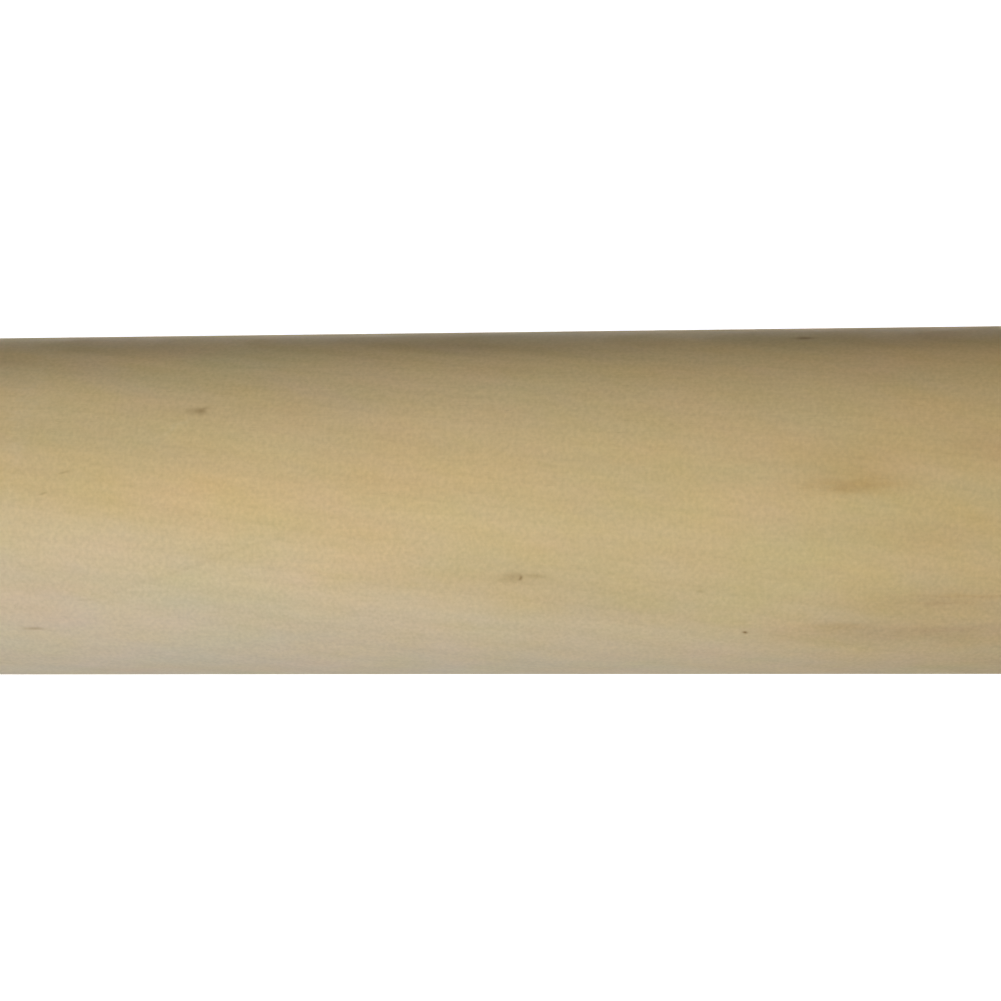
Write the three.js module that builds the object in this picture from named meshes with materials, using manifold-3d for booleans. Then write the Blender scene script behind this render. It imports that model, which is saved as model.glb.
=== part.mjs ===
// A ball-bearing rolling pin: a turned maple barrel that spins on a steel axle clamped between two fixed handles.
// Millimetres, +Z up. The pin lies along X and rests on its barrel, and the origin is on the table under the
// middle of the barrel. Each end is the same stack of pieces, built once along +Y and turned round for the left.
import * as THREE from "three";
import { mergeVertices } from "three/addons/utils/BufferGeometryUtils.js";
import Module from "manifold-3d";

const wasm = await Module();
wasm.setup();

// Clearances
const FIT_GAP = 0.1; // between pieces that are pressed or clamped together
const RUN_GAP = 0.1; // between a ball and what it rolls in
const AXLE_GAP = 1.5; // between the axle and the barrel's bore, all round
const SHIELD_GAP = 0.5; // between the turning shield and what stands still beside it
const END_GAP = 3; // between the barrel's end and the handle's collar

// Barrel
const BARREL_LENGTH = 254;
const BARREL_DIAMETER = 70;
const BARREL_EDGE_RADIUS = 4;

// Axle: thick between the bearings, a journal through bearings and handles, and a thread at each end
const AXLE_DIAMETER = 13;
const JOURNAL_DIAMETER = 10;
const THREAD_DIAMETER = 8;
const THREAD_ENGAGEMENT = 8.5; // of the axle in the cap nut
const THREAD_RUNOUT = 1; // of the thread below the washer

// Deep-groove ball bearing
const BEARING_DIAMETER = 30;
const BEARING_WIDTH = 9;
const BALL_COUNT = 8;
const BALL_DIAMETER = 4.76;
const GROOVE_RADIUS = 2.48;
const GROOVE_DEPTH = 0.85;
const RING_EDGE = 0.6;

// Crown cage that spaces the balls
const CAGE_GAP = 0.4; // to both rings
const CAGE_BACK = 3.4; // from the balls' centres to the closed side
const CAGE_FRONT = 1.3; // from the balls' centres to the open side
const POCKET_GAP = 0.12;
const PRONG_SLOT_WIDTH = 1;
const PRONG_SLOT_DEPTH = 1.7;

// Bearing cup pressed into the barrel's end
const CUP_WALL = 2.9;
const CUP_FLOOR = 2;
const CUP_EDGE = 0.8;
const FLANGE_LIP = 5;
const FLANGE_THICKNESS = 2.5;
const FLANGE_EDGE = 0.5;

// Flour shield in the cup's mouth
const SHIELD_SETBACK = 0.8; // below the flange's face
const SHIELD_THICKNESS = 0.9;
const SHIELD_RIM = 2.2; // width of the rim that stands on the outer ring

// Thrust collar between the inner ring and the handle
const COLLAR_SLEEVE_DIAMETER = 14.4;
const COLLAR_DIAMETER = 26;
const COLLAR_THICKNESS = 3;
const COLLAR_EDGE = 0.8;

// Handle
const HANDLE_LENGTH = 98;
const SHOULDER_DIAMETER = 25; // where it meets the collar
const SHOULDER_LENGTH = 4;
const SHOULDER_EDGE = 1.2;
const NECK_DIAMETER = 20;
const NECK_AT = 15;
const BELLY_DIAMETER = 31;
const BELLY_AT = 62;
const TIP_DIAMETER = 27;
const TIP_EDGE = 3.5;

// Fastening in the handle's end pocket
const POCKET_DIAMETER = 19;
const POCKET_DEPTH = 13;
const WASHER_DIAMETER = 16;
const WASHER_THICKNESS = 1.6;
const SPRING_WASHER_DIAMETER = 15;
const SPRING_WASHER_THICKNESS = 1.2;
const SPRING_WASHER_RISE = 0.8;
const NUT_ACROSS_FLATS = 13;
const NUT_HEX_HEIGHT = 6.5;
const NUT_NECK = 1;
const NUT_DOME_DIAMETER = 11.6;
const NUT_CHAMFER = 0.9;

// Facets round each kind of piece, and along its curves
const BARREL_SIDES = 48;
const HANDLE_SIDES = 28;
const RING_SIDES = 24;
const EDGE_STEPS = 3;
const GROOVE_STEPS = 4;
const SWEEP_STEPS = 4;
const DOME_STEPS = 4;
const BALL_DETAIL = 1;

// Places along the axis, from the middle of the barrel outwards
const barrelEnd = BARREL_LENGTH / 2;
const flangeBack = barrelEnd - FLANGE_THICKNESS;
const shieldFront = barrelEnd - SHIELD_SETBACK;
const bearingFront = shieldFront - SHIELD_THICKNESS - SHIELD_GAP - FIT_GAP;
const bearingBack = bearingFront - BEARING_WIDTH;
const bearingMiddle = bearingFront - BEARING_WIDTH / 2;
const axleShoulder = bearingBack - FIT_GAP;
const cupBack = bearingBack - FIT_GAP - CUP_FLOOR;
const collarBack = barrelEnd + END_GAP;
const handleStart = collarBack + COLLAR_THICKNESS + FIT_GAP;
const handleEnd = handleStart + HANDLE_LENGTH;
const pocketFloor = handleEnd - POCKET_DEPTH;
const washerBack = pocketFloor + FIT_GAP;
const springWasherBack = washerBack + WASHER_THICKNESS + FIT_GAP;
const nutBack = springWasherBack + SPRING_WASHER_THICKNESS + SPRING_WASHER_RISE + FIT_GAP;
const threadStart = pocketFloor - THREAD_RUNOUT;
const axleEnd = nutBack + THREAD_ENGAGEMENT;

// Radii that pieces share
const barrelRadius = BARREL_DIAMETER / 2;
const journalRadius = JOURNAL_DIAMETER / 2;
const threadRadius = THREAD_DIAMETER / 2;
const ballRadius = BALL_DIAMETER / 2;
const pitchRadius = (JOURNAL_DIAMETER + BEARING_DIAMETER) / 4;
const innerShoulder = pitchRadius - ballRadius - RUN_GAP + GROOVE_DEPTH;
const outerShoulder = pitchRadius + ballRadius + RUN_GAP - GROOVE_DEPTH;
const seatRadius = BEARING_DIAMETER / 2 + FIT_GAP;
const cupRadius = seatRadius + CUP_WALL;
const flangeRadius = cupRadius + FLANGE_LIP;
const sleeveRadius = COLLAR_SLEEVE_DIAMETER / 2;

// Finishes
const MAPLE = { color: 0xc8b184, roughness: 0.55, metalness: 0 };
const STAINLESS = { color: 0xb9bbbd, roughness: 0.3, metalness: 1 };
const BEARING_STEEL = { color: 0xa9abae, roughness: 0.18, metalness: 1 };
const AXLE_STEEL = { color: 0x9da0a3, roughness: 0.35, metalness: 1 };
const NYLON = { color: 0xd9d4c4, roughness: 0.6, metalness: 0 };

// The corner radius of a regular polygon whose flats lie at this radius. Bores use it, so that a faceted bore
// keeps its whole clearance round whatever turns in it.
function acrossFlats(radius, sides) {
  return radius / Math.cos(Math.PI / sides);
}

// A closed outline from corners of [radius, height, edge size, edge steps]. A square corner with an edge size is
// cut across, or rounded where it has more than one step.
function outline(corners) {
  const points = corners.map(([radius, height]) => new THREE.Vector2(radius, height));
  return corners.flatMap(([, , size = 0, steps = 1], index) => {
    const corner = points[index];
    if (size === 0) return [corner];
    const before = points.at(index - 1).clone().sub(corner).setLength(size);
    const after = points[(index + 1) % points.length].clone().sub(corner).setLength(size);
    return Array.from({ length: steps + 1 }, (_, step) => {
      const angle = (Math.PI / 2) * (step / steps);
      return corner
        .clone()
        .addScaledVector(before, 1 - Math.sin(angle))
        .addScaledVector(after, 1 - Math.cos(angle));
    });
  });
}

// A ring turned about Y from a closed outline that runs up its outside, with a facet square to +Z and -Z.
function turnedRing(points, sides) {
  return new THREE.LatheGeometry([...points, points[0]], sides, Math.PI / sides);
}

// A solid turned about Y from an outline that starts and ends on the axis.
function turnedSolid(points, sides) {
  return new THREE.LatheGeometry(points, sides, Math.PI / sides);
}

// Points of a bearing ring's ball groove, in the order that the angles give.
function groove(centreRadius, fromAngle, toAngle) {
  return Array.from({ length: GROOVE_STEPS + 1 }, (_, step) => {
    const angle = THREE.MathUtils.lerp(fromAngle, toAngle, step / GROOVE_STEPS);
    const radius = centreRadius + GROOVE_RADIUS * Math.cos(angle);
    return new THREE.Vector2(radius, bearingMiddle + GROOVE_RADIUS * Math.sin(angle));
  });
}

// A geometry as a solid for cutting and joining, and back.
function toSolid(geometry) {
  const bare = geometry.clone().deleteAttribute("normal").deleteAttribute("uv");
  const merged = mergeVertices(bare);
  const vertProperties = merged.attributes.position.array;
  const triVerts = new Uint32Array(merged.index.array);
  return new wasm.Manifold(new wasm.Mesh({ numProp: 3, vertProperties, triVerts }));
}

function toGeometry(solid) {
  const mesh = solid.getMesh();
  return new THREE.BufferGeometry()
    .setAttribute("position", new THREE.BufferAttribute(mesh.vertProperties, 3))
    .setIndex(new THREE.BufferAttribute(mesh.triVerts, 1));
}

function piece(name, geometry, finish) {
  const mesh = new THREE.Mesh(geometry, new THREE.MeshStandardMaterial(finish));
  mesh.name = name;
  return mesh;
}

// The barrel: round-edged, bored through for the axle, and stepped at both ends for the bearing cups.
function barrel() {
  const flat = (radius) => acrossFlats(radius, BARREL_SIDES);
  const bore = flat(AXLE_DIAMETER / 2 + AXLE_GAP);
  const counterbore = flat(cupRadius + FIT_GAP);
  const recess = flat(flangeRadius + FIT_GAP);
  const counterboreFloor = cupBack - FIT_GAP;
  const recessFloor = flangeBack - FIT_GAP;
  const outside = flat(barrelRadius);
  const points = outline([
    [bore, -counterboreFloor],
    [counterbore, -counterboreFloor],
    [counterbore, -recessFloor],
    [recess, -recessFloor],
    [recess, -barrelEnd],
    [outside, -barrelEnd, BARREL_EDGE_RADIUS, EDGE_STEPS],
    [outside, barrelEnd, BARREL_EDGE_RADIUS, EDGE_STEPS],
    [recess, barrelEnd],
    [recess, recessFloor],
    [counterbore, recessFloor],
    [counterbore, counterboreFloor],
    [bore, counterboreFloor],
  ]);
  return piece("barrel", turnedRing(points, BARREL_SIDES), MAPLE);
}

// The axle: its shoulders locate the inner rings, and its threads take the cap nuts.
function axle() {
  const half = [
    [AXLE_DIAMETER / 2, axleShoulder],
    [journalRadius, axleShoulder],
    [journalRadius, threadStart],
    [threadRadius, threadStart],
    [threadRadius, axleEnd],
    [0, axleEnd],
  ];
  const mirrored = half.map(([radius, height]) => [radius, -height]).reverse();
  return piece("axle", turnedSolid(outline([...mirrored, ...half]), RING_SIDES), AXLE_STEEL);
}

// The cup: a flanged seat that keeps the bearing's fit while the wood swells and shrinks.
function bearingCup(side) {
  const flat = (radius) => acrossFlats(radius, RING_SIDES);
  const points = outline([
    [flat(outerShoulder), cupBack],
    [cupRadius, cupBack, CUP_EDGE],
    [cupRadius, flangeBack],
    [flangeRadius, flangeBack],
    [flangeRadius, barrelEnd, FLANGE_EDGE],
    [flat(seatRadius), barrelEnd, FLANGE_EDGE],
    [flat(seatRadius), bearingBack - FIT_GAP],
    [flat(outerShoulder), bearingBack - FIT_GAP],
  ]);
  return piece(`bearing_cup_${side}`, turnedRing(points, RING_SIDES), STAINLESS);
}

function outerRing(side) {
  const flat = (radius) => acrossFlats(radius, RING_SIDES);
  const centre = pitchRadius + ballRadius + RUN_GAP - GROOVE_RADIUS;
  const reach = Math.acos((outerShoulder - centre) / GROOVE_RADIUS);
  const track = groove(centre, reach, -reach).map(({ x, y }) => new THREE.Vector2(flat(x), y));
  const body = outline([
    [flat(outerShoulder), bearingBack],
    [BEARING_DIAMETER / 2, bearingBack, RING_EDGE],
    [BEARING_DIAMETER / 2, bearingFront, RING_EDGE],
    [flat(outerShoulder), bearingFront],
  ]);
  return piece(`outer_ring_${side}`, turnedRing([...body, ...track], RING_SIDES), BEARING_STEEL);
}

function innerRing(side) {
  const bore = acrossFlats(journalRadius + FIT_GAP, RING_SIDES);
  const centre = pitchRadius - ballRadius - RUN_GAP + GROOVE_RADIUS;
  const reach = Math.acos((centre - innerShoulder) / GROOVE_RADIUS);
  const track = groove(centre, Math.PI + reach, Math.PI - reach);
  const back = outline([
    [bore, bearingBack],
    [innerShoulder, bearingBack],
  ]);
  const front = outline([
    [innerShoulder, bearingFront],
    [bore, bearingFront],
  ]);
  return piece(`inner_ring_${side}`, turnedRing([...back, ...track, ...front], RING_SIDES), BEARING_STEEL);
}

// The crown cage: a ring with a spherical snap pocket for each ball and a slot that frees the prongs between them.
function ballCage(side) {
  const inside = acrossFlats(innerShoulder + CAGE_GAP, RING_SIDES);
  const outside = outerShoulder - CAGE_GAP;
  const front = bearingMiddle + CAGE_FRONT;
  const band = outline([
    [inside, bearingMiddle - CAGE_BACK],
    [outside, bearingMiddle - CAGE_BACK],
    [outside, front],
    [inside, front],
  ]);
  let cage = toSolid(turnedRing(band, RING_SIDES));
  for (const [index, place] of ballPlaces().entries()) {
    const pocket = new THREE.IcosahedronGeometry(ballRadius + POCKET_GAP, BALL_DETAIL).translate(...place);
    const between = ((index + 0.5) / BALL_COUNT) * 2 * Math.PI;
    const slot = new THREE.BoxGeometry(PRONG_SLOT_WIDTH, 2 * PRONG_SLOT_DEPTH, outside)
      .translate(0, front, pitchRadius)
      .rotateY(between);
    cage = cage.subtract(toSolid(pocket)).subtract(toSolid(slot));
  }
  return piece(`ball_cage_${side}`, toGeometry(cage), NYLON);
}

// The balls' centres, evenly spaced round the pitch circle.
function ballPlaces() {
  return Array.from({ length: BALL_COUNT }, (_, index) => {
    const angle = (index / BALL_COUNT) * 2 * Math.PI;
    return [pitchRadius * Math.sin(angle), bearingMiddle, pitchRadius * Math.cos(angle)];
  });
}

function balls(side) {
  return ballPlaces().map((place, index) => {
    const ball = piece(
      `ball_${side}_${index + 1}`,
      new THREE.IcosahedronGeometry(ballRadius, BALL_DETAIL),
      BEARING_STEEL,
    );
    ball.position.set(...place);
    return ball;
  });
}

// The flour shield: a pressed disc whose rim stands on the outer ring and whose web clears all that stands still.
function flourShield(side) {
  const hole = acrossFlats(sleeveRadius + SHIELD_GAP, RING_SIDES);
  const outside = seatRadius - FIT_GAP;
  const rimInside = acrossFlats(outside - SHIELD_RIM, RING_SIDES);
  const rimBack = bearingFront + FIT_GAP;
  const webBack = shieldFront - SHIELD_THICKNESS;
  const points = outline([
    [hole, webBack],
    [rimInside, webBack],
    [rimInside, rimBack],
    [outside, rimBack],
    [outside, shieldFront, SHIELD_THICKNESS / 3],
    [hole, shieldFront],
  ]);
  return piece(`flour_shield_${side}`, turnedRing(points, RING_SIDES), STAINLESS);
}

// The thrust collar: a sleeve through the shield that holds the inner ring, with a flange against the handle.
function thrustCollar(side) {
  const bore = acrossFlats(journalRadius + FIT_GAP, RING_SIDES);
  const collarRadius = COLLAR_DIAMETER / 2;
  const collarFront = collarBack + COLLAR_THICKNESS;
  const points = outline([
    [bore, bearingFront + FIT_GAP],
    [sleeveRadius, bearingFront + FIT_GAP],
    [sleeveRadius, collarBack],
    [collarRadius, collarBack, COLLAR_EDGE],
    [collarRadius, collarFront, COLLAR_EDGE],
    [bore, collarFront],
  ]);
  return piece(`thrust_collar_${side}`, turnedRing(points, RING_SIDES), STAINLESS);
}

// A smooth stretch of a turned outline that leaves and arrives parallel to the axis, without its first point.
function sweep([fromRadius, fromHeight], [toRadius, toHeight]) {
  const ease = (toHeight - fromHeight) * 0.45;
  const curve = new THREE.CubicBezierCurve(
    new THREE.Vector2(fromRadius, fromHeight),
    new THREE.Vector2(fromRadius, fromHeight + ease),
    new THREE.Vector2(toRadius, toHeight - ease),
    new THREE.Vector2(toRadius, toHeight),
  );
  return curve.getPoints(SWEEP_STEPS).slice(1).map(({ x, y }) => [x, y]);
}

// The handle: a shoulder at the collar, a neck for the thumb, a belly for the palm and a pocket for the cap nut.
function handle(side) {
  const flat = (radius) => acrossFlats(radius, HANDLE_SIDES);
  const bore = flat(journalRadius + FIT_GAP);
  const pocket = flat(POCKET_DIAMETER / 2);
  const shoulder = [SHOULDER_DIAMETER / 2, handleStart + SHOULDER_LENGTH];
  const neck = [NECK_DIAMETER / 2, handleStart + NECK_AT];
  const belly = [BELLY_DIAMETER / 2, handleStart + BELLY_AT];
  const tip = [TIP_DIAMETER / 2, handleEnd - 2 * TIP_EDGE];
  const points = outline([
    [bore, handleStart],
    [SHOULDER_DIAMETER / 2, handleStart, SHOULDER_EDGE, 2],
    shoulder,
    ...sweep(shoulder, neck),
    ...sweep(neck, belly),
    ...sweep(belly, tip),
    [TIP_DIAMETER / 2, handleEnd, TIP_EDGE, EDGE_STEPS],
    [pocket, handleEnd],
    [pocket, pocketFloor],
    [bore, pocketFloor],
  ]);
  return piece(`handle_${side}`, turnedRing(points, HANDLE_SIDES), MAPLE);
}

function flatWasher(side) {
  const hole = acrossFlats(threadRadius + FIT_GAP, RING_SIDES);
  const points = outline([
    [hole, washerBack],
    [WASHER_DIAMETER / 2, washerBack],
    [WASHER_DIAMETER / 2, washerBack + WASHER_THICKNESS, WASHER_THICKNESS / 4],
    [hole, washerBack + WASHER_THICKNESS],
  ]);
  return piece(`flat_washer_${side}`, turnedRing(points, RING_SIDES), STAINLESS);
}

// The conical spring washer: it keeps the handles clamped while the wood swells and shrinks.
function springWasher(side) {
  const hole = acrossFlats(threadRadius + FIT_GAP, RING_SIDES);
  const rim = springWasherBack;
  const crown = springWasherBack + SPRING_WASHER_RISE;
  const points = outline([
    [hole, crown],
    [SPRING_WASHER_DIAMETER / 2, rim],
    [SPRING_WASHER_DIAMETER / 2, rim + SPRING_WASHER_THICKNESS],
    [hole, crown + SPRING_WASHER_THICKNESS],
  ]);
  return piece(`spring_washer_${side}`, turnedRing(points, RING_SIDES), STAINLESS);
}

// The cap nut: a hexagon with turned corners, a dome, and a blind hole for the axle's thread.
function capNut(side) {
  const flatRadius = NUT_ACROSS_FLATS / 2;
  const cornerRadius = acrossFlats(flatRadius, 6);
  const domeRadius = NUT_DOME_DIAMETER / 2;
  const hexFront = nutBack + NUT_HEX_HEIGHT;
  const domeStart = hexFront + NUT_NECK;
  const hexagon = new THREE.CylinderGeometry(cornerRadius, cornerRadius, NUT_HEX_HEIGHT, 6)
    .translate(0, nutBack + NUT_HEX_HEIGHT / 2, 0);
  const corners = outline([
    [0, nutBack],
    [flatRadius, nutBack],
    [cornerRadius + NUT_CHAMFER, nutBack + NUT_CHAMFER],
    [cornerRadius + NUT_CHAMFER, hexFront - NUT_CHAMFER],
    [flatRadius, hexFront],
    [0, hexFront],
  ]);
  const arc = Array.from({ length: DOME_STEPS + 1 }, (_, step) => {
    const angle = (Math.PI / 2) * (step / DOME_STEPS);
    return [domeRadius * Math.cos(angle), domeStart + domeRadius * Math.sin(angle)];
  });
  const dome = outline([[0, nutBack + NUT_CHAMFER], [domeRadius, nutBack + NUT_CHAMFER], ...arc]);
  const holeRadius = acrossFlats(threadRadius + FIT_GAP, RING_SIDES);
  const hole = outline([
    [0, nutBack - NUT_CHAMFER],
    [holeRadius, nutBack - NUT_CHAMFER],
    [holeRadius, axleEnd + NUT_NECK],
    [0, axleEnd + NUT_NECK],
  ]);
  const solid = toSolid(hexagon)
    .intersect(toSolid(turnedSolid(corners, RING_SIDES)))
    .add(toSolid(turnedSolid(dome, RING_SIDES)))
    .subtract(toSolid(turnedSolid(hole, RING_SIDES)));
  return piece(`cap_nut_${side}`, toGeometry(solid), STAINLESS);
}

// Everything at one end of the pin, along +Y.
function endStack(side) {
  const stack = new THREE.Group();
  stack.name = `${side}_end`;
  stack.add(
    bearingCup(side),
    outerRing(side),
    innerRing(side),
    ballCage(side),
    ...balls(side),
    flourShield(side),
    thrustCollar(side),
    handle(side),
    flatWasher(side),
    springWasher(side),
    capNut(side),
  );
  return stack;
}

const rightEnd = endStack("right");
const leftEnd = endStack("left");
leftEnd.rotation.z = Math.PI;

const pin = new THREE.Group();
pin.name = "pin";
pin.add(barrel(), axle(), rightEnd, leftEnd);
pin.position.z = barrelRadius;
pin.rotation.z = -Math.PI / 2;

const rollingPin = new THREE.Group();
rollingPin.name = "rolling_pin";
rollingPin.add(pin);

export default rollingPin;
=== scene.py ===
"""A handled rolling pin in a white studio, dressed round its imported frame.

The pin lies along X with its barrel on the floor at z = 0, and +Z is up. Lengths are written in
millimetres, and MM brings them to Blender's metres.
"""
import math
from collections import namedtuple

import bmesh
import bpy
from mathutils import Matrix, Vector


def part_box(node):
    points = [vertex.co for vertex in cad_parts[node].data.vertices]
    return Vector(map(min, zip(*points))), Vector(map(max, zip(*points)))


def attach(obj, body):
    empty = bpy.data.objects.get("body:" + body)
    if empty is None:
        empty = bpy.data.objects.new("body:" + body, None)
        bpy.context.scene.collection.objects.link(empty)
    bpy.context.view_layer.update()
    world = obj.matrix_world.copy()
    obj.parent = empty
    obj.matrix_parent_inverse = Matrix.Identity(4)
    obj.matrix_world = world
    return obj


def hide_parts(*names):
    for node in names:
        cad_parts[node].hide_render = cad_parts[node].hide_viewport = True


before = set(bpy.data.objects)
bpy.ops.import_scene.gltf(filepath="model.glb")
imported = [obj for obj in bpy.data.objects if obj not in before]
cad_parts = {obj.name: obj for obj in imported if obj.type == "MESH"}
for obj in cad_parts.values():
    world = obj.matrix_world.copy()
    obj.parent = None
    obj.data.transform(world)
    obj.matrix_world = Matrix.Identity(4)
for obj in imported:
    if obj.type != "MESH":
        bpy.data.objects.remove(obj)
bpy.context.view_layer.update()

MM = 0.001
SIDES = ("left", "right")
HANDLES = "handles_and_axle"
ROLLER = "roller"


def span(node):
    """Where a node starts and ends along the axle, in millimetres."""
    low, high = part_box(node)
    return low.x / MM, high.x / MM


# The frame's places
barrel_low, barrel_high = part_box("barrel")
BARREL_RADIUS = (barrel_high.z - barrel_low.z) / 2 / MM
AXIS_HEIGHT = (barrel_high.z + barrel_low.z) / 2 / MM
BARREL_END = span("barrel")[1]
CUP_BACK, CUP_FRONT = span("bearing_cup_right")
BEARING_BACK, BEARING_FRONT = span("outer_ring_right")
SHIELD_BACK, SHIELD_FRONT = span("flour_shield_right")
COLLAR_BACK, COLLAR_FRONT = span("thrust_collar_right")
HANDLE_START, HANDLE_END = span("handle_right")
WASHER_BACK, WASHER_FRONT = span("flat_washer_right")
SPRING_BACK, SPRING_FRONT = span("spring_washer_right")
NUT_BACK, NUT_FRONT = span("cap_nut_right")
AXLE_END = span("axle")[1]

# Gaps between pieces that are pressed or clamped together, and between a ball and its grooves
FIT_GAP = 0.1
BALL_GAP = 0.1

# The usual broken edge on metal
METAL_EDGE = 0.35

# The bearings
JOURNAL_RADIUS = 5.0
JOURNAL_BORE = JOURNAL_RADIUS + FIT_GAP
BEARING_RADIUS = 15.0
BEARING_MIDDLE = (BEARING_BACK + BEARING_FRONT) / 2
BALL_RADIUS = 2.38
BALL_COUNT = 8
PITCH_RADIUS = 10.0
GROOVE_RADIUS = BALL_RADIUS + BALL_GAP
INNER_LAND = 8.37
OUTER_LAND = 11.63
INNER_RING_EDGE = 0.4
OUTER_RING_EDGE = 0.6

# The barrel and its bearing cups
BARREL_EDGE = 4.0
BARREL_BORE = 8.0
FLANGE_RADIUS = 23.0
FLANGE_RECESS = FLANGE_RADIUS + FIT_GAP
FLANGE_THICKNESS = 2.5
CUP_RADIUS = 18.0
COUNTERBORE = CUP_RADIUS + FIT_GAP
CUP_SEAT = BEARING_RADIUS + FIT_GAP
CUP_FLOOR = 2.0
CUP_HOLE = 11.65
CUP_EDGE = 0.7

# The flour shields and the thrust collars
SHIELD_HOLE = 7.7
SHIELD_RIM = 2.2
SHIELD_WEB = 0.9
SHIELD_BEAD_RADIUS = 11.0
SHIELD_BEAD_WIDTH = 1.6
SHIELD_BEAD_DEPTH = 0.35
SLEEVE_RADIUS = 7.2
COLLAR_RADIUS = 13.0
COLLAR_THICKNESS = 3.0
COLLAR_EDGE = 0.8

# The handles
SHOULDER_RADIUS = 12.5
SHOULDER_LENGTH = 4.0
SHOULDER_EDGE = 1.2
NECK_RADIUS = 10.0
NECK_AT = 15.0
BELLY_RADIUS = 15.5
BELLY_AT = 62.0
TIP_RADIUS = 13.5
TIP_LENGTH = 7.0
TIP_EDGE = 3.1
SWEEP_EASE = 0.45
POCKET_RADIUS = 9.5
POCKET_DEPTH = 13.0
POCKET_FLOOR = HANDLE_END - POCKET_DEPTH
POCKET_EDGE = 0.2

# The axle, with a coarse metric thread whose crest and root are flat for these shares of half a pitch
AXLE_RADIUS = 6.5
AXLE_EDGE = 0.5
THREAD_RADIUS = 4.0
THREAD_PITCH = 1.25
THREAD_DEPTH = 0.75
THREAD_CREST = 0.125
THREAD_ROOT = 0.25
THREAD_RUNOUT = 1.0
THREAD_START = POCKET_FLOOR - THREAD_RUNOUT

# The fasteners
WASHER_RADIUS = 8.0
WASHER_HOLE = 4.2
WASHER_EDGE = 0.2
SPRING_RADIUS = 7.5
SPRING_THICKNESS = 1.2
SPRING_EDGE = 0.15
NUT_FLAT = 6.5
NUT_HEX_HEIGHT = 6.5
NUT_FACE = 6.2
NUT_CHAMFER = math.radians(30)
NUT_DOME = 5.8
NUT_DOME_FOOT = 0.2
NUT_HOLE = THREAD_RADIUS + FIT_GAP
NUT_HOLE_MOUTH = 0.6
NUT_NECK = 1.0
NUT_HOLE_FLOOR = AXLE_END + NUT_NECK

# Fineness of the meshes
ARC_STEPS = 8
SWEEP_STEPS = 24
DOME_STEPS = 20
BALL_DETAIL = 3
BARREL_SIDES = 256
HANDLE_SIDES = 128
METAL_SIDES = 96
AXLE_SIDES = 64
BARREL_ROW = 6.0
THREAD_ROW = 0.125
MERGE_DISTANCE = 0.0001
CREASE = math.radians(25)


# Meshes


def arc(centre, radius, start, end, steps):
    """Points of (radius, x) along an arc about a centre, from one angle to another."""
    made = []
    for step in range(steps + 1):
        angle = start + (end - start) * step / steps
        made.append((centre[0] + radius * math.cos(angle), centre[1] + radius * math.sin(angle)))
    return made


def fillet(before, corner, after, radius):
    """The points of the arc that rounds a corner of an outline."""
    inward = (before - corner).normalized()
    onward = (after - corner).normalized()
    half = inward.angle(onward) / 2
    start = corner + inward * (radius / math.tan(half))
    centre = corner + (inward + onward).normalized() * (radius / math.sin(half))
    bend = math.copysign(math.pi - 2 * half, -inward.cross(onward))
    return [
        centre + Matrix.Rotation(bend * step / ARC_STEPS, 2) @ (start - centre)
        for step in range(ARC_STEPS + 1)
    ]


def outline(*corners):
    """A closed outline of (radius, x) points from corners of (radius, x) or (radius, x, edge radius)."""
    points = [Vector(corner[:2]) for corner in corners]
    made = []
    for index, corner in enumerate(corners):
        if len(corner) == 2:
            made.append(points[index])
        else:
            following = points[(index + 1) % len(points)]
            made += fillet(points[index - 1], points[index], following, corner[2])
    return made


def spaced(points, longest):
    """A closed outline with its long straight stretches cut into even rows."""
    made = []
    for index, point in enumerate(points):
        following = points[(index + 1) % len(points)]
        rows = max(1, math.ceil((following - point).length / longest))
        made += [point.lerp(following, row / rows) for row in range(rows)]
    return made


def finished(shape):
    """A bmesh as a mesh with smooth faces and creases."""
    mesh = bpy.data.meshes.new("shape")
    shape.to_mesh(mesh)
    shape.free()
    mesh.shade_smooth()
    mesh.set_sharp_from_angle(angle=CREASE)
    return mesh


def revolve(outline_at, sides):
    """A closed mesh about the axle from its outline at each angle, which runs towards +X on the outside."""
    shape = bmesh.new()
    rings = []
    for side in range(sides):
        angle = 2 * math.pi * side / sides
        around = Vector((0, math.cos(angle), math.sin(angle)))
        ring = []
        for radius, x in outline_at(angle):
            point = Vector((x, 0, AXIS_HEIGHT)) + around * radius
            ring.append(shape.verts.new(point * MM))
        rings.append(ring)
    for side, ring in enumerate(rings):
        following = rings[(side + 1) % sides]
        for index in range(len(ring)):
            onward = (index + 1) % len(ring)
            shape.faces.new((ring[index], following[index], following[onward], ring[onward]))
    bmesh.ops.remove_doubles(shape, verts=shape.verts, dist=MERGE_DISTANCE * MM)
    bmesh.ops.dissolve_degenerate(shape, edges=shape.edges, dist=MERGE_DISTANCE * MM)
    stray = [edge for edge in shape.edges if edge.is_wire]
    bmesh.ops.delete(shape, geom=stray, context="EDGES")
    return finished(shape)


def turned(points, sides):
    """A closed mesh turned about the axle from one outline."""
    return revolve(lambda angle: points, sides)


def at_side(mesh, side):
    """A right-hand mesh, turned round for the left."""
    if side == "left":
        mesh.transform(Matrix.Rotation(math.pi, 4, "Z"))
    return mesh


def place(name, mesh, body, slot, material, *nodes):
    """Adds a piece of the pin that rides on a body and stands for CAD nodes."""
    mesh.name = name
    mesh.materials.append(material)
    piece = bpy.data.objects.new(name, mesh)
    bpy.context.scene.collection.objects.link(piece)
    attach(piece, body)
    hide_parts(*nodes)


# Shader nodes

# The Mix node has sockets for each kind of value. These are its factor, its two colours and its mixture.
MIX_INPUTS = (0, 6, 7)
MIX_OUTPUT = 2
FINE_DETAIL = 3.0
FINEST_DETAIL = 4.0


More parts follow.
